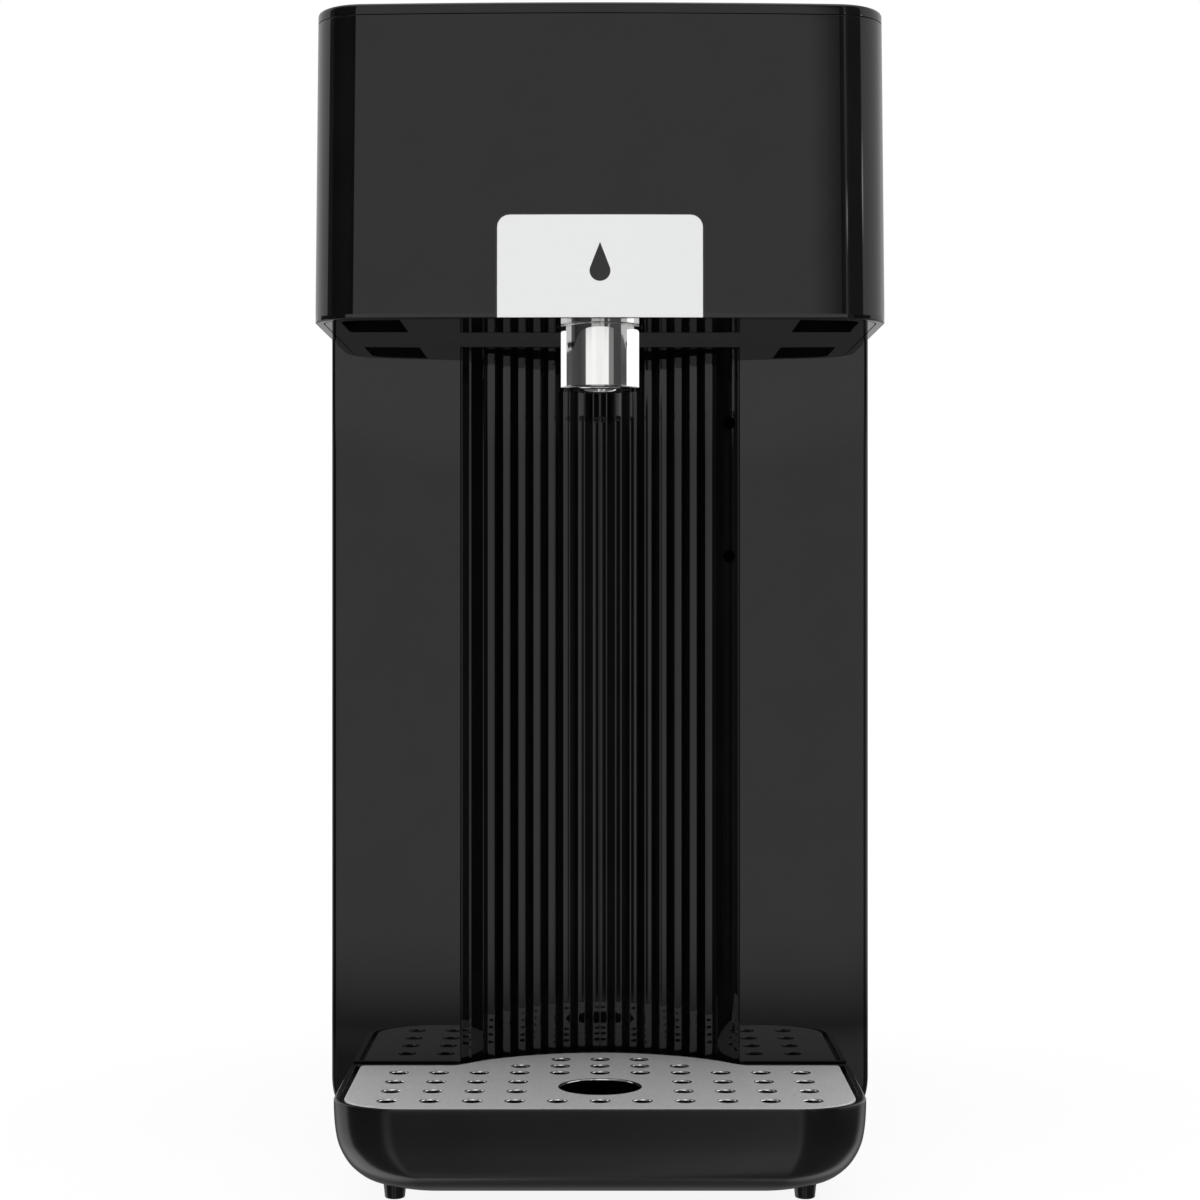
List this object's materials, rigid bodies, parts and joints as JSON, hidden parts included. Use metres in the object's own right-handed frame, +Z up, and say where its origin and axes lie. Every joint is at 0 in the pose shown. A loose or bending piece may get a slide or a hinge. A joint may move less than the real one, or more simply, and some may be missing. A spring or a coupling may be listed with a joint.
{
  "type": "countertop water dispenser",
  "caption": "Slim upright water dispenser: overhanging head with a chrome spout, fluted alcove, lift-off rear tank with hinged lid, and a pull-out drip tray under a perforated grille.",
  "frame": {"origin": "middle of the bounding box's base, on the counter", "axes": "+Z up, front towards -Y, +X to the right seen from the front"},
  "size_m": [0.15, 0.25, 0.312],
  "materials": {
    "gloss_black": "piano-black high gloss",
    "matt_black": "fine matt moulding",
    "badge_silver": "pale satin",
    "chrome": "polished",
    "brushed_steel": "fine brushed",
    "smoked_clear": "clear smoked",
    "white_plastic": "natural moulding",
    "rubber": "matt",
    "silicone": "translucent satin",
    "circuit_board": "solder-masked board",
    "brass": "plain",
    "aluminium": "satin",
    "sensor_window": "dark infrared window"
  },
  "bodies": {
    "housing": {"base_pan": "matt_black", "column_shell": "gloss_black", "front_panel": "gloss_black", "fluted_insert": "gloss_black", "head_shell": "gloss_black", "head_underside": "gloss_black", "control_panel": "gloss_black", "control_board": "circuit_board", "badge_plate": "badge_silver", "spout_sleeve": "chrome", "spout_nozzle": "silicone", "spout_collar": "matt_black", "outlet_chamber": "white_plastic", "inner_frame": "white_plastic", "heater_tube": "brushed_steel", "heater_lower_cap": "matt_black", "heater_upper_cap": "matt_black", "heater_clamp": "aluminium", "thermal_cutout": "brass", "temperature_probe": "brass", "pump_volute": "white_plastic", "pump_motor_can": "brushed_steel", "pump_motor_cap": "matt_black", "inlet_hose": "silicone", "pump_hose": "silicone", "hot_hose": "silicone", "power_board": "circuit_board", "power_relay": "matt_black", "heat_sink": "aluminium", "sensor_lens_upper": "sensor_window", "sensor_lens_lower": "sensor_window", "sensor_board": "circuit_board", "dock_plate": "matt_black", "inlet_socket": "white_plastic", "socket_seal": "silicone", "cord_grommet": "rubber", "rubber_foot_1": "rubber", "rubber_foot_2": "rubber", "rubber_foot_3": "rubber", "rubber_foot_4": "rubber", "base_screw_1": "aluminium", "base_screw_2": "aluminium", "base_screw_3": "aluminium", "base_screw_4": "aluminium"},
    "pump_rotor": {"pump_shaft": "brushed_steel", "motor_armature": "brass", "pump_impeller": "white_plastic"},
    "tank": {"tank_shell": "smoked_clear", "tank_valve_body": "matt_black", "valve_guide": "matt_black", "tank_filter": "white_plastic", "float_guide": "matt_black", "lid_hinge_pin": "brushed_steel", "valve_spring": "brushed_steel"},
    "valve_poppet": {"valve_poppet": "white_plastic"},
    "level_float": {"level_float": "white_plastic"},
    "tank_lid": {"tank_lid": "gloss_black"},
    "drip_tray": {"drip_tray": "gloss_black"},
    "drip_grille": {"drip_grille": "brushed_steel"}
  },
  "joints": [
    {"name": "pump_spin", "type": "hinge", "parent": "housing", "child": "pump_rotor", "pos_m": [0.04, -0.005, 0.06], "axis": [0, 0, 1], "continuous": true},
    {"name": "tank_lift", "type": "slide", "parent": "housing", "child": "tank", "axis": [0, 0, 1], "range_m": [0, 0.06]},
    {"name": "lid_hinge", "type": "hinge", "parent": "tank", "child": "tank_lid", "pos_m": [0, 0.1202, 0.3075], "axis": [-1, 0, 0], "range_deg": [0, 100]},
    {"name": "valve_lift", "type": "slide", "parent": "tank", "child": "valve_poppet", "axis": [0, 0, 1], "range_m": [0, 0.003], "stiffness_N_per_m": 80, "springref_m": -0.004, "deforming": ["valve_spring"]},
    {"name": "float_rise", "type": "slide", "parent": "tank", "child": "level_float", "axis": [0, 0, 1], "range_m": [0, 0.0165]},
    {"name": "tray_pull", "type": "slide", "parent": "housing", "child": "drip_tray", "axis": [0, -1, 0], "range_m": [0, 0.09]},
    {"name": "grille_lift", "type": "slide", "parent": "drip_tray", "child": "drip_grille", "axis": [0, 0, 1], "range_m": [0, 0.04]}
  ]
}
